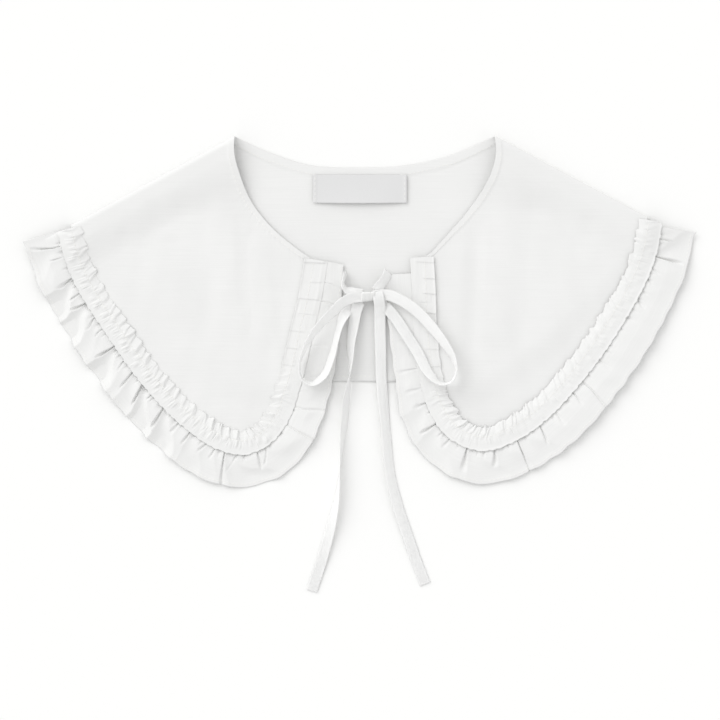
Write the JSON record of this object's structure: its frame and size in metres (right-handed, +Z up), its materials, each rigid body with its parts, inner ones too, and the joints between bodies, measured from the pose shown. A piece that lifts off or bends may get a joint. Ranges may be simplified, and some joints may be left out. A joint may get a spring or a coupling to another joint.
{
  "type": "ruffled collar",
  "caption": "Detachable cape collar of white cotton, laid flat, with a pleated ruffle and a gathered strip along each front and narrow ribbon ties in a bow.",
  "frame": {"origin": "middle of the laid collar's box, on the surface that it lies on", "axes": "+X to the right across the collar as the picture shows it, +Y from the hems towards the neck, +Z up from the surface"},
  "size_m": [0.4356, 0.297, 0.0144],
  "materials": {
    "cotton": "white cotton poplin, matte",
    "ribbon": "white cotton folded and stitched as ribbon, matte",
    "label_satin": "pale grey satin, bare"
  },
  "bodies": {
    "root": {"back": "cotton", "front_left": "cotton", "front_right": "cotton", "frill_left": "cotton", "frill_right": "cotton", "strip_left": "cotton", "strip_right": "cotton", "label": "label_satin", "tie_left": "ribbon", "tie_right": "ribbon", "loop_left": "ribbon", "loop_right": "ribbon", "tail_left": "ribbon", "tail_right": "ribbon", "knot": "ribbon"}
  },
  "joints": []
}
